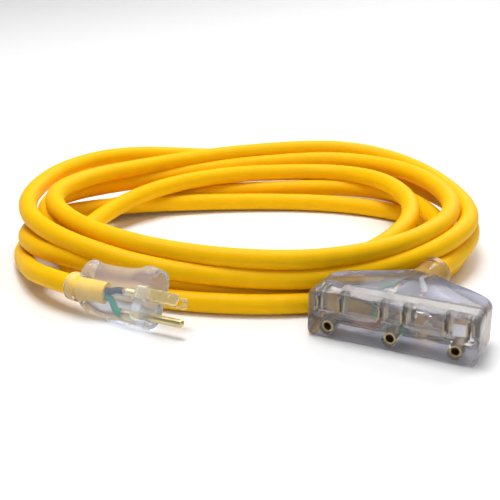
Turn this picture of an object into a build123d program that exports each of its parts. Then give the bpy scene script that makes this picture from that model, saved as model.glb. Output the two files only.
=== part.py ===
"""Three-outlet extension cord: a grounded plug, a coiled heavy cord and a moulded power block.

Millimetres. +Z is up, and z = 0 is the surface that everything lies on. The origin is the middle of
the power block's footprint. The block's long side runs along X, its outlets face -Y, and the cord
leaves its back towards +Y. The plug lies to the left with its blades pointing to +X.
"""
import os
from math import cos, pi, radians, sin, tan

from build123d import *

os.makedirs("parts", exist_ok=True)

# ---------------------------------------------------------------- driving dimensions
# Standard 15 A grounded plug and outlet
BLADE_SPACING = 12.7        # between the middles of the two flat blades
BLADE_TO_GROUND = 11.86     # from the blade row to the ground pin
BLADE_WIDTH = 6.35
BLADE_THICKNESS = 1.52
BLADE_REACH = 16.6          # beyond the face
BLADE_HOLE_DIAMETER = 3.8
BLADE_HOLE_FROM_FACE = 11.9
GROUND_PIN_DIAMETER = 4.76
GROUND_PIN_REACH = 20.6
GROUND_SHANK_DIAMETER = 4.3

# Cord: three 10-gauge conductors in one jacket
CORD_DIAMETER = 12.4
WIRE_DIAMETER = 4.0         # one insulated conductor
STRAND_DIAMETER = 2.8       # its bare copper
WIRE_CIRCLE = 2.45          # from the cord's axis to each conductor's axis
CRIMP_WALL = 0.6
CRIMP_GAP = 0.05            # around the copper in a crimp barrel

# Power block
BLOCK_WIDTH = 96.0
BLOCK_FACE_Y = -42.5
BLOCK_SHOULDER_Y = -13.0    # where the full-width part ends
NECK_START_Y = 20.0
NECK_END = (1.4, 41.7, 14.5)
NECK_TURN = 7.8             # degrees that the neck leans towards +X
NECK_DIAMETER = 19.0
FACE_HEIGHT = 28.5
SHOULDER_HEIGHT = 26.5
BLOCK_EDGE = 4.0
OUTLET_PITCH = 36.0
GROUND_HOLE_Z = 7.2
BLADE_ROW_Z = GROUND_HOLE_Z + BLADE_TO_GROUND
SOCKET_BORE = 4.9           # inside of a ground contact
SLOT_WIDTH = 2.0
HOT_SLOT_HEIGHT = 7.0
NEUTRAL_SLOT_HEIGHT = 8.4
BRASS = 0.8                 # thickness of bus bars and contacts

# Plug: lies rolled over on the lower edge of its face
PLUG_FACE = (-128.0, -70.5, 19.0)      # middle of the blade row, on the face
PLUG_ROLL = 34.0                       # degrees between its ground pin side and straight down
PLUG_BODY_LENGTH = 47.0
PLUG_COLLAR_LENGTH = 9.5
PLUG_COLLAR_DIAMETER = 17.0
PLUG_COLLAR_TURN = 8.7                 # degrees that the cord end leans towards the coil
CORD_OFFSET = 3.6                      # from the blade row towards the ground pin
PLUG_JACKET_END = 31.0                 # distance behind the face
PLUG_WIRE_END = 18.0
PLUG_STRAND_END = 11.0

# Coil: the outer shape of five and a half loose turns
COIL_CENTRE = (-138.0, 74.0)
COIL_TURN = 25.3                       # degrees from +X to its long axis
COIL_OUTER = (158.5, 124.0)            # half width, half depth
COIL_INNER = (113.0, 79.0)
COIL_INNER_SHIFT = (-9.2, -13.8)       # along its long and short axes
COIL_HEIGHT_FRONT = 38.0
COIL_HEIGHT_BACK = 48.0
COIL_EDGE = 8.0
LEAD_ROOM = 13.0                       # cut into the coil beside each lead

OUTLETS = [-OUTLET_PITCH, 0.0, OUTLET_PITCH]


def finish(builder, label):
    """Name one piece and write its file."""
    builder.part.label = label
    export_step(builder.part, f"parts/{label}.step")


# ---------------------------------------------------------------- placing helpers
plug_roll = radians(PLUG_ROLL)
plug_blades_way = Vector(1, 0, 0)
plug_across = Vector(0, cos(plug_roll), -sin(plug_roll))      # from the hot to the neutral blade
plug_up = Vector(0, sin(plug_roll), cos(plug_roll))           # away from the ground pin
plug_face = Vector(*PLUG_FACE)


def plug_point(behind, across=0.0, up=0.0):
    """A point by its distance behind the plug's face and its offsets in the face."""
    return plug_face - plug_blades_way * behind + plug_across * across + plug_up * up


def plug_section(behind, up=0.0):
    """The plane across the plug, facing the way the blades point."""
    return Plane(origin=plug_point(behind, 0, up), x_dir=plug_across, z_dir=plug_blades_way)


def plug_side(across):
    """The plane of a blade's flat side."""
    return Plane(origin=plug_point(0, across), x_dir=plug_blades_way, z_dir=plug_across)


def block_section(y, x=0.0, z=0.0):
    """The plane across the power block at y, facing the outlets' way."""
    return Plane(origin=(x, y, z), x_dir=(1, 0, 0), z_dir=(0, -1, 0))


def route_radii(points):
    """The largest arc at each corner of a route: 0.45 of the shorter run over tan(half the turn)."""
    radii = []
    for before, corner, after in zip(points, points[1:], points[2:]):
        arriving = Vector(*corner) - Vector(*before)
        leaving = Vector(*after) - Vector(*corner)
        half_turn = radians(arriving.get_angle(leaving)) / 2
        radii.append(0.45 * min(arriving.length, leaving.length) / tan(half_turn))
    return radii


def make_tube(points, diameter, label):
    """A round rod along straight runs joined by tangent arcs."""
    radii = route_radii(points)
    with BuildPart() as tube:
        with BuildLine() as path:
            FilletPolyline(*points, radius=radii)
        start = Plane(origin=path.line @ 0, z_dir=path.line % 0)
        with BuildSketch(start):
            Circle(diameter / 2)
        sweep(path=path.line)
    length = sum(edge.length for edge in path.line.edges())
    expected = length * pi * (diameter / 2) ** 2
    print(f"{label}: length {length:.1f}, radii {[round(r) for r in radii]}, "
          f"volume {tube.part.volume / expected:.3f} of section x length")
    return tube


# ---------------------------------------------------------------- cord leads
collar_root = plug_point(PLUG_BODY_LENGTH, 0, -CORD_OFFSET)
collar_way = Vector(-cos(radians(PLUG_COLLAR_TURN)), sin(radians(PLUG_COLLAR_TURN)), 0)
collar_end = collar_root + collar_way * PLUG_COLLAR_LENGTH
neck_way = Vector(sin(radians(NECK_TURN)), cos(radians(NECK_TURN)), 0)
neck_end = Vector(*NECK_END)

# From the plug's collar down to the coil's outermost turn
PLUG_LEAD = [
    tuple(collar_end),
    tuple(collar_end + collar_way * 13),
    (-211.9, -64.0, 14.8),
    (-224.9, -56.2, 12.3),
    (-236.8, -45.6, 9.5),
    (-249.5, -33.5, 7.0),
    (-260.3, -20.0, CORD_DIAMETER / 2),
]
# From the power block's neck to the coil's right end
BLOCK_LEAD = [
    tuple(neck_end),
    tuple(neck_end + neck_way * 15.5),
    (7.2, 75.0, 15.6),
    (8.6, 92.0, 16.8),
]

plug_lead = make_tube(PLUG_LEAD, CORD_DIAMETER, "plug_lead")
block_lead = make_tube(BLOCK_LEAD, CORD_DIAMETER, "block_lead")
finish(plug_lead, "plug_lead")
finish(block_lead, "block_lead")


def lead_seat(points):
    """The plane where a lead meets the coil, square to the lead's last run, its x axis level."""
    last_run = Vector(*points[-1]) - Vector(*points[-2])
    return Plane(origin=points[-1], x_dir=(last_run.Y, -last_run.X, 0), z_dir=last_run)


# ---------------------------------------------------------------- coil
coil_long_way = (cos(radians(COIL_TURN)), sin(radians(COIL_TURN)), 0)
coil_plane = Plane(origin=(*COIL_CENTRE, 0), x_dir=coil_long_way)
coil_depth = 2 * COIL_OUTER[1]
coil_rise = COIL_HEIGHT_BACK - COIL_HEIGHT_FRONT
coil_slope = Plane(
    origin=coil_plane.from_local_coords((0, 0, COIL_HEIGHT_FRONT + coil_rise / 2)),
    x_dir=coil_plane.x_dir,
    z_dir=coil_plane.z_dir * coil_depth - coil_plane.y_dir * coil_rise,
)
with BuildPart() as coil:
    with BuildSketch(coil_plane):
        Ellipse(*COIL_OUTER)
        with Locations(COIL_INNER_SHIFT):
            Ellipse(*COIL_INNER, mode=Mode.SUBTRACT)
    extrude(amount=COIL_HEIGHT_BACK + COIL_EDGE)
    split(bisect_by=coil_slope, keep=Keep.BOTTOM)
    fillet(coil.edges(), COIL_EDGE)
    # room for the plug, the power block and both leads
    with BuildSketch(Plane.XY):
        with Locations((-150, -106)):
            Rectangle(120, 100)
        with BuildLine():
            Polyline(
                (-52, -60), (52, -60), (52, -8), (14, 22), (14, 43.5), (-10, 43.5), (-13, 22),
                (-52, -8), close=True)
        make_face()
    extrude(amount=COIL_HEIGHT_BACK + COIL_EDGE, mode=Mode.SUBTRACT)
    with BuildSketch(lead_seat(BLOCK_LEAD)):
        with Locations((50 - LEAD_ROOM, 0)):
            Rectangle(100, 100)
    extrude(amount=-60, mode=Mode.SUBTRACT)
    with BuildSketch(lead_seat(PLUG_LEAD)):
        with Locations((LEAD_ROOM - 50, 0)):
            Rectangle(100, 100)
    extrude(amount=-60, mode=Mode.SUBTRACT)
finish(coil, "cord_coil")


# ---------------------------------------------------------------- shared small pieces
def make_strands(start, end, label):
    """The bare copper of one conductor, a straight round bundle."""
    way = Vector(*end) - Vector(*start)
    with BuildPart() as strands:
        with BuildSketch(Plane(origin=start, z_dir=way)):
            Circle(STRAND_DIAMETER / 2)
        extrude(amount=way.length)
    finish(strands, label)
    return strands


def make_crimp_barrel(start, way, length):
    """A round barrel that grips the copper, to be added to a blade, a pin or a bus bar."""
    inside = STRAND_DIAMETER / 2 + CRIMP_GAP
    with BuildPart() as barrel:
        with BuildSketch(Plane(origin=start, z_dir=way)):
            Circle(inside + CRIMP_WALL)
            Circle(inside, mode=Mode.SUBTRACT)
        extrude(amount=length)
    return barrel.part


def cut_out(pieces):
    """Cut the moulded-in pieces out of the builder in use."""
    for piece in pieces:
        add(piece.part, mode=Mode.SUBTRACT)


# ---------------------------------------------------------------- plug: blades and ground pin
PLUG_BARREL_START = 9.5     # distances behind the face
PLUG_BARREL_LENGTH = 6.0
BLADE_ROOT = 10.0
WIRE_UP = -1.2              # where a wire meets its blade, from the blade row


def make_blade(across, label):
    """A flat blade with a hole, and its crimp barrel."""
    barrel = make_crimp_barrel(
        plug_point(PLUG_BARREL_START, across, WIRE_UP), -plug_blades_way, PLUG_BARREL_LENGTH)
    with BuildPart() as blade:
        with BuildSketch(plug_side(across - BLADE_THICKNESS / 2)):
            with Locations(((BLADE_REACH - BLADE_ROOT) / 2, 0)):
                Rectangle(BLADE_REACH + BLADE_ROOT, BLADE_WIDTH)
        extrude(amount=BLADE_THICKNESS)
        corners = blade.edges().filter_by(Axis(tuple(plug_face), tuple(plug_across)))
        fillet(corners.group_by(Axis.X)[-1], 1.6)
        sides = blade.faces().filter_by(Plane(origin=plug_face, z_dir=plug_across))
        chamfer(sides.edges().filter_by(lambda edge: edge.center().X > PLUG_FACE[0] + 5), 0.3)
        with BuildSketch(plug_side(across - BLADE_THICKNESS)):
            with Locations((BLADE_HOLE_FROM_FACE, 0)):
                Circle(BLADE_HOLE_DIAMETER / 2)
        extrude(amount=2 * BLADE_THICKNESS, mode=Mode.SUBTRACT)
        add(barrel)
    finish(blade, label)
    return blade


hot_blade = make_blade(-BLADE_SPACING / 2, "plug_hot_blade")
neutral_blade = make_blade(BLADE_SPACING / 2, "plug_neutral_blade")

ground_barrel = make_crimp_barrel(
    plug_point(PLUG_BARREL_START, 0, -BLADE_TO_GROUND), -plug_blades_way, PLUG_BARREL_LENGTH)
with BuildPart() as ground_pin:
    with BuildSketch(plug_section(0, -BLADE_TO_GROUND)):
        Circle(GROUND_PIN_DIAMETER / 2)
    extrude(amount=GROUND_PIN_REACH)
    fillet(ground_pin.edges().sort_by(Axis.X)[-1], GROUND_PIN_DIAMETER / 2 - 0.2)
    # the moulded-in shank is a little thinner
    with BuildSketch(plug_section(PLUG_BARREL_START, -BLADE_TO_GROUND)):
        Circle(GROUND_SHANK_DIAMETER / 2)
    extrude(amount=PLUG_BARREL_START)
    add(ground_barrel)
finish(ground_pin, "plug_ground_pin")

# ---------------------------------------------------------------- plug: cord end, wires, carrier
plug_jacket_end = make_tube(
    [tuple(plug_point(PLUG_JACKET_END, 0, -CORD_OFFSET)), tuple(collar_root), tuple(collar_end)],
    CORD_DIAMETER, "plug_jacket_end")
finish(plug_jacket_end, "plug_jacket_end")


def make_plug_wire(start, end, label):
    """One insulated conductor inside the plug; start and end are (across, up)."""
    route = [
        tuple(plug_point(PLUG_JACKET_END, *start)),
        tuple(plug_point(PLUG_JACKET_END - 3.5, *start)),
        tuple(plug_point(PLUG_WIRE_END + 3.5, *end)),
        tuple(plug_point(PLUG_WIRE_END, *end)),
    ]
    wire = make_tube(route, WIRE_DIAMETER, label)
    finish(wire, label)
    return wire


third_turn = radians(30)
wire_side = WIRE_CIRCLE * cos(third_turn)
wire_rise = WIRE_CIRCLE * sin(third_turn)
PLUG_CONDUCTORS = {         # name: where it leaves the jacket, where it ends
    "black": ((-wire_side, wire_rise - CORD_OFFSET), (-BLADE_SPACING / 2, WIRE_UP)),
    "white": ((wire_side, wire_rise - CORD_OFFSET), (BLADE_SPACING / 2, WIRE_UP)),
    "green": ((0, -WIRE_CIRCLE - CORD_OFFSET), (0, -BLADE_TO_GROUND)),
}
plug_wiring = []
for colour, (start, end) in PLUG_CONDUCTORS.items():
    plug_wiring.append(make_plug_wire(start, end, f"plug_{colour}_wire"))
    plug_wiring.append(make_strands(
        tuple(plug_point(PLUG_WIRE_END, *end)), tuple(plug_point(PLUG_STRAND_END, *end)),
        f"plug_{colour}_strands"))

with BuildPart() as blade_carrier:
    with BuildSketch(plug_section(8.5, -5)):
        RectangleRounded(19, 19, 3)
    extrude(amount=5.5)
    cut_out([hot_blade, neutral_blade, ground_pin])
finish(blade_carrier, "plug_blade_carrier")

# ---------------------------------------------------------------- plug: clear moulded body
# distance behind the face, half width, lower edge, upper edge, corner radius
FLANGE_SECTIONS = [
    (0.0, 11.6, -17.9, 15.4, 8.6),
    (3.5, 12.5, -18.5, 16.4, 9.0),
    (8.0, 12.5, -18.5, 16.2, 9.0),
]
WAIST_SECTIONS = [
    (8.0, 12.5, -18.5, 16.2, 9.0),
    (13.0, 11.2, -18.0, 14.2, 8.4),
    (25.0, 10.2, -17.7, 12.8, 8.0),
    (37.0, 10.6, -17.4, 12.9, 8.0),
    (41.5, 11.6, -15.6, 13.8, 8.4),
]
SHOULDER_SECTIONS = [
    (41.5, 11.6, -15.6, 13.8, 8.4),
    (44.5, 11.4, -13.6, 13.4, 8.4),
    (PLUG_BODY_LENGTH, 8.6, -12.0, 5.6, 8.3),
]


with BuildPart() as plug_body:
    for length_of_body in (FLANGE_SECTIONS, WAIST_SECTIONS, SHOULDER_SECTIONS):
        for behind, half_width, low, high, corner in length_of_body:
            with BuildSketch(plug_section(behind, (low + high) / 2)):
                RectangleRounded(2 * half_width, high - low, corner)
        loft()
    fillet(plug_body.edges().group_by(Axis.X)[-1], 1.2)
    # strain relief: a groove and a ring, leaning towards the coil
    with BuildSketch(Plane(origin=collar_root - collar_way * 1.5, z_dir=collar_way)):
        Circle(PLUG_COLLAR_DIAMETER / 2 - 0.9)
    extrude(amount=5)
    with BuildSketch(Plane(origin=collar_end, z_dir=collar_way)):
        Circle(PLUG_COLLAR_DIAMETER / 2)
    extrude(amount=-6.5)
    # rib along the ground pin side
    with BuildSketch(plug_section(25, -18.0)):
        Rectangle(7, 2.4)
    extrude(amount=24)
    cut_out([hot_blade, neutral_blade, ground_pin, blade_carrier, plug_jacket_end, *plug_wiring])
finish(plug_body, "plug_body")

# ---------------------------------------------------------------- power block: contacts and bus bars
CONTACT_FRONT_Y = -36.5
CONTACT_BACK_Y = -25.0      # back of the web that joins a contact's leaves
CONTACT_HEIGHT = 7.8
CONTACT_PINCH = 1.3         # gap where the leaves grip a blade
CONTACT_MOUTH = 2.8
HOT_BUS_Z = 23.8            # underside
NEUTRAL_BUS_Z = 13.5
BUS_FRONT_Y = -33.0
SLEEVE_FRONT_Y = -41.0
GROUND_BUS_Y = -21.0        # front
BOSS_DIAMETER = 9.0
BLOCK_BARREL_LENGTH = 6.5
TAIL_END_Y = -18.0          # where a bar's tail ends inside its crimp barrel
TAIL_WIDTH = 4.0
BARREL_RADIUS = STRAND_DIAMETER / 2 + CRIMP_GAP + CRIMP_WALL
CRIMP_X = {"black": -6.0, "white": 8.0, "green": -17.0}
HOT_X = BLADE_SPACING / 2
CONTACT_LOW_Z = BLADE_ROW_Z - CONTACT_HEIGHT / 2
CONTACT_HIGH_Z = BLADE_ROW_Z + CONTACT_HEIGHT / 2


def make_contact(x, tab_low, tab_high, label):
    """Two spring leaves joined by a web, with a tab up or down to their bus bar."""
    gap, mouth, leaf = CONTACT_PINCH / 2, CONTACT_MOUTH / 2, BRASS
    back, front = CONTACT_BACK_Y, CONTACT_FRONT_Y
    with BuildPart() as contact:
        with BuildSketch(Plane(origin=(x, 0, CONTACT_LOW_Z))):
            with BuildLine():
                Polyline(
                    (-mouth - leaf, front), (-mouth, front), (-gap, front + 3.5), (-gap, front + 5.5),
                    (-mouth, back - leaf), (mouth, back - leaf), (gap, front + 5.5), (gap, front + 3.5),
                    (mouth, front), (mouth + leaf, front), (gap + leaf, front + 3.5),
                    (gap + leaf, front + 5.5), (mouth + leaf, back), (-mouth - leaf, back),
                    (-gap - leaf, front + 5.5), (-gap - leaf, front + 3.5), close=True)
            make_face()
        extrude(amount=CONTACT_HEIGHT)
        with BuildSketch(Plane(origin=(x, back - leaf / 2, tab_low))):
            Rectangle(3.0, leaf)
        extrude(amount=tab_high - tab_low)
    finish(contact, label)
    return contact


def make_flat_bus(low_z, x_from, x_to, crimp_x, barrel_z, label):
    """A level brass strip with a tail that ends in a crimp barrel."""
    barrel = make_crimp_barrel((crimp_x, TAIL_END_Y - 1, barrel_z), (0, 1, 0), BLOCK_BARREL_LENGTH)
    with BuildPart() as bus:
        with BuildSketch(Plane.XY.offset(low_z)):
            with Locations(((x_from + x_to) / 2, (BUS_FRONT_Y + CONTACT_BACK_Y) / 2)):
                Rectangle(x_to - x_from, CONTACT_BACK_Y - BUS_FRONT_Y)
            with Locations((crimp_x, (CONTACT_BACK_Y + TAIL_END_Y) / 2)):
                Rectangle(TAIL_WIDTH, TAIL_END_Y - CONTACT_BACK_Y)
        extrude(amount=BRASS)
        add(barrel)
    finish(bus, label)
    return bus


hot_contacts = [
    make_contact(x + HOT_X, CONTACT_HIGH_Z, HOT_BUS_Z, f"hot_contact_{number}")
    for number, x in enumerate(OUTLETS, 1)]
neutral_contacts = [
    make_contact(x - HOT_X, NEUTRAL_BUS_Z + BRASS, CONTACT_LOW_Z, f"neutral_contact_{number}")
    for number, x in enumerate(OUTLETS, 1)]

BARREL_Z = {
    "black": HOT_BUS_Z + BRASS - BARREL_RADIUS,
    "white": NEUTRAL_BUS_Z + BARREL_RADIUS,
    "green": GROUND_HOLE_Z + 1.0,
}
BUS_OVERHANG = 2.6          # of a bus bar beyond its last contacts
bus_end = OUTLET_PITCH + HOT_X + BUS_OVERHANG
bus_start = -OUTLET_PITCH + HOT_X - BUS_OVERHANG
hot_bus = make_flat_bus(
    HOT_BUS_Z, bus_start, bus_end, CRIMP_X["black"], BARREL_Z["black"], "hot_bus_bar")
neutral_bus = make_flat_bus(
    NEUTRAL_BUS_Z, -bus_end, -bus_start, CRIMP_X["white"], BARREL_Z["white"], "neutral_bus_bar")

ground_sleeves = []
for number, x in enumerate(OUTLETS, 1):
    with BuildPart() as sleeve:
        with BuildSketch(block_section(GROUND_BUS_Y, x, GROUND_HOLE_Z)):
            Circle(SOCKET_BORE / 2 + BRASS)
            Circle(SOCKET_BORE / 2, mode=Mode.SUBTRACT)
        extrude(amount=GROUND_BUS_Y - SLEEVE_FRONT_Y)
    finish(sleeve, f"ground_sleeve_{number}")
    ground_sleeves.append(sleeve)

green_barrel = make_crimp_barrel(
    (CRIMP_X["green"], TAIL_END_Y - 1, BARREL_Z["green"]), (0, 1, 0), BLOCK_BARREL_LENGTH)
with BuildPart() as ground_bus:
    with BuildSketch(block_section(GROUND_BUS_Y, 0, GROUND_HOLE_Z)):
        Rectangle(2 * OUTLET_PITCH + 8, 7.0)
    extrude(amount=-BRASS)
    tail_z = BARREL_Z["green"] + BARREL_RADIUS - BRASS
    with BuildSketch(Plane(origin=(CRIMP_X["green"], GROUND_BUS_Y, tail_z))):
        with Locations((0, (TAIL_END_Y - GROUND_BUS_Y) / 2)):
            Rectangle(TAIL_WIDTH, TAIL_END_Y - GROUND_BUS_Y)
    extrude(amount=BRASS)
    add(green_barrel)
finish(ground_bus, "ground_bus_bar")

# ---------------------------------------------------------------- power block: cord end and wires
jacket_length = 21.5
jacket_face = neck_end - neck_way * jacket_length
neck_across = Vector(neck_way.Y, -neck_way.X, 0)
with BuildPart() as block_jacket_end:
    with BuildSketch(Plane(origin=jacket_face, x_dir=neck_across, z_dir=neck_way)):
        Circle(CORD_DIAMETER / 2)
    extrude(amount=jacket_length)
finish(block_jacket_end, "block_jacket_end")

WIRE_BARE_Y = -8.0          # where the insulation stops
# name: offsets from the cord's axis as it leaves the jacket, and the middle of its way forward
BLOCK_CONDUCTORS = {
    "black": ((0, WIRE_CIRCLE), [(-3.2, 7.0, 19.6)]),
    "white": ((wire_side, -wire_rise), [(3.4, 7.0, 13.8)]),
    "green": ((-wire_side, -wire_rise), [(-7.6, 9.0, 11.4), (-14.0, -0.5, 8.9)]),
}
block_wiring = []
for colour, ((across, up), middle) in BLOCK_CONDUCTORS.items():
    start = jacket_face + neck_across * across + Vector(0, 0, up)
    x, z = CRIMP_X[colour], BARREL_Z[colour]
    bare_end = (x, WIRE_BARE_Y, z)
    route = [tuple(start), tuple(start - neck_way * 6), *middle, (x, WIRE_BARE_Y + 4, z), bare_end]
    wire = make_tube(route, WIRE_DIAMETER, f"block_{colour}_wire")
    finish(wire, f"block_{colour}_wire")
    strands = make_strands(bare_end, (x, TAIL_END_Y, z), f"block_{colour}_strands")
    block_wiring += [wire, strands]

# ---------------------------------------------------------------- power block: indicator lamp
LAMP_Y, LAMP_Z = -16.0, 18.6
LAMP_LEFT_X, LAMP_LENGTH, LAMP_DIAMETER = 31.0, 12.0, 5.0
LAMP_WIRE_SPACING = 2.6
LEAD_WIRE = 0.8
RESISTOR_DIAMETER, RESISTOR_LENGTH = 2.6, 6.5
RESISTOR_X = 24.0
upper_wire_z = LAMP_Z + LAMP_WIRE_SPACING / 2
lower_wire_z = LAMP_Z - LAMP_WIRE_SPACING / 2
resistor_left = RESISTOR_X - RESISTOR_LENGTH / 2
resistor_right = RESISTOR_X + RESISTOR_LENGTH / 2


def lamp_section(x, z):
    """The plane across the lamp at x, facing +X."""
    return Plane(origin=(x, LAMP_Y, z), z_dir=(1, 0, 0))


def make_bent_lead(x, z, bus_z, label):
    """A bare wire that runs left from x, then bends forward onto a bus bar's back edge."""
    bus_middle_z = bus_z + BRASS / 2
    lead = make_tube(
        [(x, LAMP_Y, z), (x - 3, LAMP_Y, z), (x - 5, LAMP_Y - 3, bus_middle_z),
         (x - 5, CONTACT_BACK_Y, bus_middle_z)],
        LEAD_WIRE, label)
    finish(lead, label)
    return lead


with BuildPart() as lamp:
    with BuildSketch(lamp_section(LAMP_LEFT_X, LAMP_Z)):
        Circle(LAMP_DIAMETER / 2)
    extrude(amount=LAMP_LENGTH)
    fillet(lamp.edges().sort_by(Axis.X)[-1], LAMP_DIAMETER / 2 - 0.1)
finish(lamp, "indicator_lamp")

with BuildPart() as resistor:
    with BuildSketch(lamp_section(resistor_left, lower_wire_z)):
        Circle(RESISTOR_DIAMETER / 2)
    extrude(amount=RESISTOR_LENGTH)
    fillet(resistor.edges(), 0.6)
finish(resistor, "lamp_resistor")

with BuildPart() as series_lead:
    with BuildSketch(lamp_section(resistor_right, lower_wire_z)):
        Circle(LEAD_WIRE / 2)
    extrude(amount=LAMP_LEFT_X - resistor_right)
finish(series_lead, "lamp_series_lead")

hot_lead = make_bent_lead(LAMP_LEFT_X, upper_wire_z, HOT_BUS_Z, "lamp_hot_lead")
neutral_lead = make_bent_lead(resistor_left, lower_wire_z, NEUTRAL_BUS_Z, "lamp_neutral_lead")

# ---------------------------------------------------------------- power block: contact carrier
CARRIER_FRONT_Y, CARRIER_BACK_Y = -38.5, -22.5
CARRIER_LOW_Z, CARRIER_HIGH_Z = 11.0, 25.4
CARRIER_WIDTH = 90.0
INNER_SLOT_HEIGHT = 7.6     # of a neutral slot inside the carrier
NOTCH_WIDTH = 14.0

brass_work = [*hot_contacts, *neutral_contacts, hot_bus, neutral_bus]
with BuildPart() as carrier_room:
    with BuildSketch(block_section(CARRIER_BACK_Y)):
        with Locations((0, (CARRIER_LOW_Z + CARRIER_HIGH_Z) / 2)):
            Rectangle(CARRIER_WIDTH, CARRIER_HIGH_Z - CARRIER_LOW_Z)
    extrude(amount=CARRIER_BACK_Y - CARRIER_FRONT_Y)
    fillet(carrier_room.edges().filter_by(Axis.Y), 1.5)
    # bosses round the ground contacts
    with BuildSketch(block_section(CARRIER_BACK_Y)):
        with Locations(*[(x, GROUND_HOLE_Z) for x in OUTLETS]):
            Circle(BOSS_DIAMETER / 2)
    extrude(amount=CARRIER_BACK_Y - BLOCK_FACE_Y)

with BuildPart() as carrier:
    add(carrier_room.part)
    with BuildSketch(block_section(CARRIER_BACK_Y)):
        with Locations(*[(x, GROUND_HOLE_Z) for x in OUTLETS]):
            Circle(SOCKET_BORE / 2)
    extrude(amount=CARRIER_BACK_Y - BLOCK_FACE_Y, mode=Mode.SUBTRACT)
    # blade slots, as deep as a blade reaches
    with BuildSketch(block_section(CONTACT_BACK_Y - BRASS)):
        with Locations(*[(x + HOT_X, BLADE_ROW_Z) for x in OUTLETS]):
            Rectangle(SLOT_WIDTH, HOT_SLOT_HEIGHT)
        with Locations(*[(x - HOT_X, BLADE_ROW_Z) for x in OUTLETS]):
            Rectangle(SLOT_WIDTH, INNER_SLOT_HEIGHT)
    extrude(amount=CONTACT_BACK_Y - BRASS - CARRIER_FRONT_Y, mode=Mode.SUBTRACT)
    # notch in the middle of the top edge
    with BuildSketch(block_section(CARRIER_FRONT_Y)):
        with Locations((0, CARRIER_HIGH_Z)):
            Rectangle(NOTCH_WIDTH, 1.2)
    extrude(amount=-3, mode=Mode.SUBTRACT)
    cut_out([*brass_work, *ground_sleeves, hot_lead, neutral_lead])
finish(carrier, "contact_carrier")

# ---------------------------------------------------------------- power block: clear moulded body
# y, half width, underside, top, corner radius
BELL_SECTIONS = [
    (BLOCK_SHOULDER_Y, 48.0, 0.0, 26.5, 4.0),
    (-8.0, 46.4, 0.2, 26.4, 4.6),
    (0.0, 37.0, 1.2, 26.0, 6.0),
    (8.0, 25.5, 2.6, 25.4, 7.6),
    (16.0, 15.6, 4.0, 24.8, 8.8),
    (24.0, 9.6, 5.2, 24.2, 9.2),
]
with BuildPart() as block_body:
    for y, height in ((BLOCK_FACE_Y, FACE_HEIGHT), (BLOCK_SHOULDER_Y, SHOULDER_HEIGHT)):
        with BuildSketch(block_section(y, 0, height / 2)):
            RectangleRounded(BLOCK_WIDTH, height, BLOCK_EDGE)
    loft(ruled=True)
    fillet(block_body.faces().sort_by(Axis.Y)[0].outer_wire().edges(), 1.8)
    for y, half_width, low, high, corner in BELL_SECTIONS:
        with BuildSketch(block_section(y, 0, (low + high) / 2)):
            RectangleRounded(2 * half_width, high - low, corner)
    loft()
    with BuildSketch(Plane(origin=neck_end, z_dir=neck_way)):
        Circle(NECK_DIAMETER / 2)
    extrude(amount=-22)
    with BuildSketch(Plane(origin=neck_end, z_dir=neck_way)):
        Circle(NECK_DIAMETER / 2 + 0.8)
    extrude(amount=-5)
    # blade slots through the front wall
    with BuildSketch(block_section(CARRIER_FRONT_Y)):
        with Locations(*[(x + HOT_X, BLADE_ROW_Z) for x in OUTLETS]):
            Rectangle(SLOT_WIDTH, HOT_SLOT_HEIGHT)
        with Locations(*[(x - HOT_X, BLADE_ROW_Z) for x in OUTLETS]):
            Rectangle(SLOT_WIDTH, NEUTRAL_SLOT_HEIGHT)
    extrude(amount=CARRIER_FRONT_Y - BLOCK_FACE_Y, mode=Mode.SUBTRACT)
    cut_out([
        carrier_room, hot_bus, neutral_bus, *ground_sleeves, ground_bus, block_jacket_end,
        *block_wiring, lamp, resistor, series_lead, hot_lead, neutral_lead])
    # the ground contacts' bores run on to their bus bar
    with BuildSketch(block_section(GROUND_BUS_Y)):
        with Locations(*[(x, GROUND_HOLE_Z) for x in OUTLETS]):
            Circle(SOCKET_BORE / 2)
    extrude(amount=GROUND_BUS_Y - CARRIER_BACK_Y, mode=Mode.SUBTRACT)
finish(block_body, "block_body")
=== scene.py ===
"""The visual model of a coiled three-outlet extension cord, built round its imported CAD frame.

Metres, in the CAD's own frame: +Z is up, z = 0 is the surface that everything lies on, and the
origin is the middle of the power block's footprint.
"""
from math import cos, pi, radians, sin

import bmesh
import bpy
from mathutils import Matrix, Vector
from mathutils.bvhtree import BVHTree


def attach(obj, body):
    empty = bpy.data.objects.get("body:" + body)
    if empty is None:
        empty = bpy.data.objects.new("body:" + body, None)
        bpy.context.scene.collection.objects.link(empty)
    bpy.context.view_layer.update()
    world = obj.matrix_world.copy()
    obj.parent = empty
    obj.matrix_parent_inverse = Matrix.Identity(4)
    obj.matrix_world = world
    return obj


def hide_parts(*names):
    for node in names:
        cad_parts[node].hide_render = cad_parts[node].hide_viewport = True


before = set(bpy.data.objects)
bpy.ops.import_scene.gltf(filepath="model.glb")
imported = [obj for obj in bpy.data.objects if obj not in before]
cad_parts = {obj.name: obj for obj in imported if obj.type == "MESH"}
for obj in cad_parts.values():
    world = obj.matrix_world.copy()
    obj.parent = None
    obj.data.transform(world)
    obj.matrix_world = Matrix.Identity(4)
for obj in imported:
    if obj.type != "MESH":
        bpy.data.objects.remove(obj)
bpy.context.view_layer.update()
scene = bpy.context.scene
scene.view_settings.view_transform = "Standard"

# ---------------------------------------------------------------- camera
CAMERA_PLACE = Vector((0.1371, -0.509, 0.2485))
CAMERA_WAY = Vector((-0.397, 0.841, -0.3665))
CAMERA_LENS = 71.28

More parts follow.
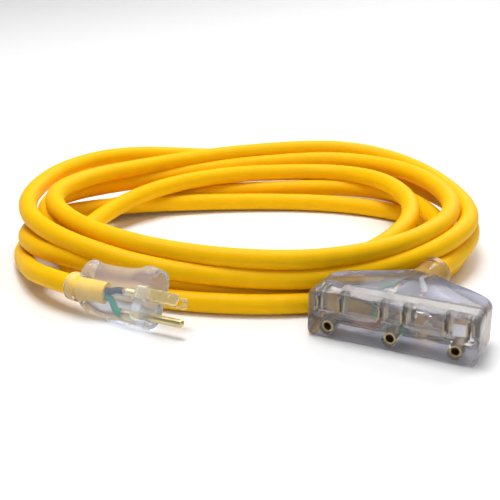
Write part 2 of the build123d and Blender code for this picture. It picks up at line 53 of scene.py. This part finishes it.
camera_data = bpy.data.cameras.new("camera")
camera_data.lens = CAMERA_LENS
camera = bpy.data.objects.new("camera", camera_data)
camera.location = CAMERA_PLACE
camera.rotation_euler = CAMERA_WAY.to_track_quat("-Z", "Y").to_euler()
scene.collection.objects.link(camera)
scene.camera = camera

# ---------------------------------------------------------------- cord route
CORD_DIAMETER = 0.0124
COIL_CENTRE = (-0.1319, 0.0605)
COIL_TURN = radians(25.3)       # from +X to the way the coil is widest
POINTS_A_QUARTER = 4

# From the plug's collar down to the coil's outermost turn
PLUG_LEAD = [
    (-0.18439, -0.07109, 0.01602),
    (-0.19724, -0.06913, 0.01602),
    (-0.2119, -0.0640, 0.0148),
    (-0.2249, -0.0562, 0.0123),
    (-0.2368, -0.0456, 0.0095),
    (-0.2495, -0.0335, 0.0070),
    (-0.2603, -0.0200, 0.0062),
]
# From the coil's right end to the power block's neck
BLOCK_LEAD = [
    (0.0086, 0.0920, 0.0168),
    (0.0072, 0.0750, 0.0156),
    (0.0035, 0.0571, 0.0145),
    (0.0014, 0.0417, 0.0145),
]
# The coil's outermost points in order along the cord, clockwise seen from above: to the right of the
# coil's centre, away from the front, height, then how full the corner that follows is (2 is round,
# more is squarer) and how much its middle stands up over its ends
QUARTERS = [
    (-0.1515, -0.020, 0.0062, 2.55, -0.0025), (0.050, 0.100, 0.0125, 2.1, 0.002),
    (0.129, 0.000, 0.0170, 1.9, 0), (0.020, -0.0893, 0.0062, 2.2, 0.0085),
    (-0.1465, -0.012, 0.0180, 2.25, -0.001), (0.020, 0.085, 0.0062, 2.1, 0),
    (0.141, 0.000, 0.0062, 1.95, 0), (0.010, -0.102, 0.0062, 2.1, 0),
    (-0.1200, -0.020, 0.0062, 2.0, 0.006), (0.042, 0.107, 0.0230, 2.25, 0),
    (0.1095, 0.012, 0.0290, 2.0, 0), (0.000, -0.081, 0.0150, 1.95, 0),
    (-0.1378, 0.016, 0.0285, 1.95, -0.007), (0.050, 0.117, 0.0300, 2.1, 0),
    (0.1345, 0.002, 0.0350, 1.95, 0), (0.020, -0.0905, 0.0293, 1.95, 0),
    (-0.1310, 0.008, 0.0378, 1.95, -0.005), (0.055, 0.127, 0.0370, 2.1, 0),
    (0.1465, 0.000, 0.0295, 1.95, 0.001), (0.020, -0.0935, 0.0176, 2.25, 0.004),
    (-0.1495, 0.016, 0.0335, 2.3, 0.011), (0.060, 0.130, 0.0240, 2.1, -0.006),
    (0.1510, 0.010, 0.0175, 2.1, 0),
]


def coil_point(right, away, height):
    """A point by its distances from the coil's centre, seen from the front."""
    return (
        COIL_CENTRE[0] + right * cos(COIL_TURN) - away * sin(COIL_TURN),
        COIL_CENTRE[1] + right * sin(COIL_TURN) + away * cos(COIL_TURN),
        height,
    )


def coil_route():
    """The turns' control points: quarter after quarter of a superellipse, a little outside the line."""
    step = pi / 2 / POINTS_A_QUARTER
    swell = 1 / (0.75 + 0.25 * cos(step))
    points = []
    for quarter, (start, end) in enumerate(zip(QUARTERS, QUARTERS[1:])):
        right, away, height, fullness, lift = start
        next_right, next_away, next_height, _, _ = end
        for number in range(POINTS_A_QUARTER):
            turned = number * step
            leaving = swell * cos(turned) ** (2 / fullness)
            coming = swell * sin(turned) ** (2 / fullness)
            share = (1 - cos(2 * turned)) / 2
            level = height + (next_height - height) * share + lift * sin(2 * turned) ** 2
            if quarter % 2 == 0:        # a side, then the back or the front
                points.append(coil_point(
                    next_right + (right - next_right) * leaving, away + (next_away - away) * coming, level))
            else:
                points.append(coil_point(
                    right + (next_right - right) * coming, next_away + (away - next_away) * leaving, level))
    points.append(coil_point(*QUARTERS[-1][:3]))
    return points


# The first turn starts a little inside its outermost point, and the last one eases into the block's lead
COIL_START = coil_point(-0.1505, 0.000, 0.0062)
COIL_END = (0.0068, 0.1115, 0.0172)
route = PLUG_LEAD + [COIL_START] + coil_route()[1:] + [COIL_END] + BLOCK_LEAD


# ---------------------------------------------------------------- materials
def add_node(material, kind, links=(), **settings):
    """A shader node with its inputs set by name; links are (output socket, input name)."""
    node = material.node_tree.nodes.new(kind)
    for name, value in settings.items():
        if hasattr(node, name):
            setattr(node, name, value)
        else:
            node.inputs[name.replace("_", " ")].default_value = value
    for output, name in links:
        material.node_tree.links.new(output, node.inputs[name])
    return node


def link(material, output, node, name):
    material.node_tree.links.new(output, node.inputs[name])


def color_range(material, factor, dark, light):
    """A blend from one colour to another by a factor."""
    ramp = add_node(material, "ShaderNodeValToRGB", [(factor, "Fac")])
    ramp.color_ramp.elements[0].position = 0.3
    ramp.color_ramp.elements[0].color = (*dark, 1)
    ramp.color_ramp.elements[1].position = 0.7
    ramp.color_ramp.elements[1].color = (*light, 1)
    return ramp.outputs["Color"]


def value_range(material, factor, low, high):
    limits = add_node(material, "ShaderNodeMapRange", [(factor, "Value")], From_Min=0.3, From_Max=0.7,
                      To_Min=low, To_Max=high)
    return limits.outputs["Result"]


def make_material(name, dark, light, roughness, grain=2500, bump=0.1, metallic=0.0, stretch=(1, 1, 1)):
    """A mottled surface with fine grain: colour, roughness and bump all come from noise."""
    material = bpy.data.materials.new(name)
    material.use_nodes = True
    shader = material.node_tree.nodes["Principled BSDF"]
    place = add_node(material, "ShaderNodeTexCoord").outputs["Object"]
    place = add_node(material, "ShaderNodeMapping", [(place, "Vector")], Scale=stretch).outputs["Vector"]
    mottle = add_node(material, "ShaderNodeTexNoise", [(place, "Vector")], Scale=90, Detail=5)
    fine = add_node(material, "ShaderNodeTexNoise", [(place, "Vector")], Scale=grain, Detail=3)
    link(material, color_range(material, mottle.outputs["Fac"], dark, light), shader, "Base Color")
    link(material, value_range(material, fine.outputs["Fac"], *roughness), shader, "Roughness")
    relief = add_node(material, "ShaderNodeBump", [(fine.outputs["Fac"], "Height")], Strength=bump,
                      Distance=0.0002)
    link(material, relief.outputs["Normal"], shader, "Normal")
    shader.inputs["Metallic"].default_value = metallic
    return material


def make_clear(name, tint, clearness, glass_index):
    """Clear vinyl with a slightly wavy, partly hazy surface."""
    material = make_material(name, tint, tuple(min(1, part * 1.08) for part in tint), (0.02, 0.10),
                             grain=600, bump=0.08)
    shader = material.node_tree.nodes["Principled BSDF"]
    shader.inputs["Transmission Weight"].default_value = clearness
    shader.inputs["IOR"].default_value = glass_index
    return material


yellow = make_material("yellow_jacket", (0.92, 0.50, 0.0), (0.96, 0.54, 0.0), (0.40, 0.52),
                       grain=1800, bump=0.12)
yellow.node_tree.nodes["Principled BSDF"].inputs["Specular IOR Level"].default_value = 0.10
brass = make_material("brass", (0.64, 0.53, 0.26), (0.72, 0.61, 0.33), (0.28, 0.35), grain=1400, bump=0.008,
                      metallic=0.9, stretch=(0.25, 1, 1))
# The blades' brass: the brass's own colour lightened and made only partly metallic, a painted reflection
# standing in for the bright light their faces reflect
blade_brass_painted_reflection = make_material("blade_brass_painted_reflection", (0.90, 0.70, 0.30), (0.94, 0.75, 0.36), (0.26, 0.34), grain=1400,
                            bump=0.02, metallic=0.6, stretch=(0.25, 1, 1))
# The socket sleeves' brass: the brass darkened, painted shade for contacts that sit deep in the block's
# sockets
sleeve_brass_painted_shade = make_material("sleeve_brass_painted_shade", (0.40, 0.28, 0.11), (0.52, 0.38, 0.16), (0.30, 0.42),
                             grain=1400, bump=0.02, metallic=0.9)
pale_brass = make_material("pale_brass", (0.60, 0.54, 0.40), (0.76, 0.71, 0.58), (0.22, 0.40), grain=900,
                           bump=0.05, metallic=1.0)
copper = make_material("bare_copper", (0.55, 0.24, 0.12), (0.80, 0.42, 0.25), (0.25, 0.40), grain=1600,
                       bump=0.5, metallic=1.0, stretch=(1, 0.12, 1))
black_vinyl = make_material("black_insulation", (0.018, 0.018, 0.022), (0.035, 0.035, 0.04), (0.30, 0.45))
white_vinyl = make_material("white_insulation", (0.74, 0.74, 0.70), (0.84, 0.84, 0.80), (0.30, 0.45))
green_vinyl = make_material("green_insulation", (0.02, 0.26, 0.11), (0.03, 0.36, 0.16), (0.30, 0.45))
tinned = make_material("tinned_wire", (0.50, 0.50, 0.50), (0.66, 0.66, 0.66), (0.25, 0.40), metallic=1.0)
ceramic = make_material("resistor_body", (0.52, 0.36, 0.20), (0.66, 0.48, 0.30), (0.40, 0.55))
lamp_glass = make_clear("lamp_glass", (0.95, 0.80, 0.62), 0.90, 1.45)
clear_vinyl = make_clear("clear_moulding", (0.66, 0.66, 0.76), 0.90, 1.32)
clear_plug = make_clear("clear_plug", (0.72, 0.79, 0.93), 0.80, 1.22)
clear_insert = make_clear("clear_insert", (0.90, 0.89, 0.86), 0.90, 1.30)


# ---------------------------------------------------------------- cord
def make_cord(name, points):
    curve = bpy.data.curves.new(name, "CURVE")
    curve.dimensions = "3D"
    spline = curve.splines.new("NURBS")
    spline.points.add(len(points) - 1)
    for control, point in zip(spline.points, points):
        control.co = (*point, 1)
    spline.order_u = 3
    spline.use_endpoint_u = True
    spline.resolution_u = 8
    curve.bevel_depth = CORD_DIAMETER / 2
    curve.bevel_resolution = 6
    curve.use_fill_caps = True
    cord = bpy.data.objects.new(name, curve)
    scene.collection.objects.link(cord)
    cord.data.materials.append(yellow)
    return cord


cord = make_cord("yellow_cord", route)
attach(cord, "root")
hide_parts("cord_coil", "plug_lead", "block_lead")


# ---------------------------------------------------------------- clear mouldings
SHARP_EDGE = radians(28)
STAND_OFF = 1e-5        # of a line's start from the face it leaves
LEAST_LEAN = 0.15       # the least cosine between a line and the face's normal
MERGE_WITHIN = 1e-6
LOOK_WAYS = [
    Vector((right, away, up)).normalized()
    for right in (-1, 0, 1) for away in (-1, 0, 1) for up in (-1, 0, 1) if (right, away, up) != (0, 0, 0)
]


def opens_out(face, tree):
    """True if most lines from the face, on its outer side, meet nothing else of the piece."""
    start = face.calc_center_median() + face.normal * STAND_OFF
    ways = [way for way in LOOK_WAYS if way.dot(face.normal) > LEAST_LEAN]
    free = sum(tree.ray_cast(start, way)[0] is None for way in ways)
    return free > len(ways) / 2


def make_skin(node, name, material):
    """A clear piece's outer surface alone: what is moulded into it fills its inner faces."""
    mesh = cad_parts[node].data.copy()
    mesh.name = name
    shape = bmesh.new()
    shape.from_mesh(mesh)
    tree = BVHTree.FromBMesh(shape)
    inner = [face for face in shape.faces if not opens_out(face, tree)]
    bmesh.ops.delete(shape, geom=inner, context="FACES")
    bmesh.ops.remove_doubles(shape, verts=shape.verts, dist=MERGE_WITHIN)
    shape.to_mesh(mesh)
    shape.free()
    mesh.materials.clear()
    mesh.materials.append(material)
    mesh.shade_smooth()
    mesh.set_sharp_from_angle(angle=SHARP_EDGE)
    skin = bpy.data.objects.new(name, mesh)
    scene.collection.objects.link(skin)
    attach(skin, "root")
    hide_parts(node)
    return skin


plug_skin = make_skin("plug_body", "plug_skin", clear_plug)
plug_insert = make_skin("plug_blade_carrier", "plug_insert", clear_insert)
for skin in (plug_skin, plug_insert):
    skin.visible_shadow = False     # light goes through the clear plug to what is in it
make_skin("block_body", "block_skin", clear_vinyl)
make_skin("contact_carrier", "block_insert", clear_insert)

# ---------------------------------------------------------------- materials of the CAD pieces
FINISHES = {        # words in a piece's name: its material
    "jacket_end": yellow,
    "black_wire": black_vinyl,
    "white_wire": white_vinyl,
    "green_wire": green_vinyl,
    "strands": copper,
    "indicator_lamp": lamp_glass,
    "resistor": ceramic,
    "lead": tinned,
    "bus_bar": pale_brass,
    # blades: brass with a painted reflection in its colour
    "blade": blade_brass_painted_reflection,
    # sleeves: brass with painted shade in its colour
    "sleeve": sleeve_brass_painted_shade,
}
for name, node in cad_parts.items():
    finish = next((finish for words, finish in FINISHES.items() if words in name), brass)
    for material_slot in node.material_slots:
        material_slot.material = finish

# ---------------------------------------------------------------- floor and lights
bpy.ops.mesh.primitive_plane_add(size=8)
floor = bpy.context.object
floor.name = "floor"
paint = make_material("floor_paint", (0.88, 0.88, 0.88), (0.90, 0.90, 0.90), (0.5, 0.6))
floor.data.materials.append(paint)


def add_light(name, place, aim, size, power):
    """A square lamp, by the length of its side and its power in watts, aimed at a point."""
    data = bpy.data.lights.new(name, "AREA")
    data.size = size
    data.energy = power
    light = bpy.data.objects.new(name, data)
    light.location = place
    light.rotation_euler = (Vector(aim) - Vector(place)).to_track_quat("-Z", "Y").to_euler()
    scene.collection.objects.link(light)


CORD_MIDDLE = (-0.1, 0.05, 0)
FAR_FLOOR = (0.0, 3.2, 0)
ROOM_LIGHT = 0.28
add_light("key", (-0.35, 0.1, 1.4), CORD_MIDDLE, 0.8, 18.5)
add_light("fill", (0.8, -0.9, 0.7), CORD_MIDDLE, 0.8, 2)
add_light("back", (0.0, 1.2, 1.0), CORD_MIDDLE, 1.2, 5)
add_light("far", (0.0, 3.2, 2.2), FAR_FLOOR, 2.5, 50)
world = bpy.data.worlds.new("world")
world.use_nodes = True
world.node_tree.nodes["Background"].inputs["Color"].default_value = (1, 1, 1, 1)
world.node_tree.nodes["Background"].inputs["Strength"].default_value = ROOM_LIGHT
scene.world = world
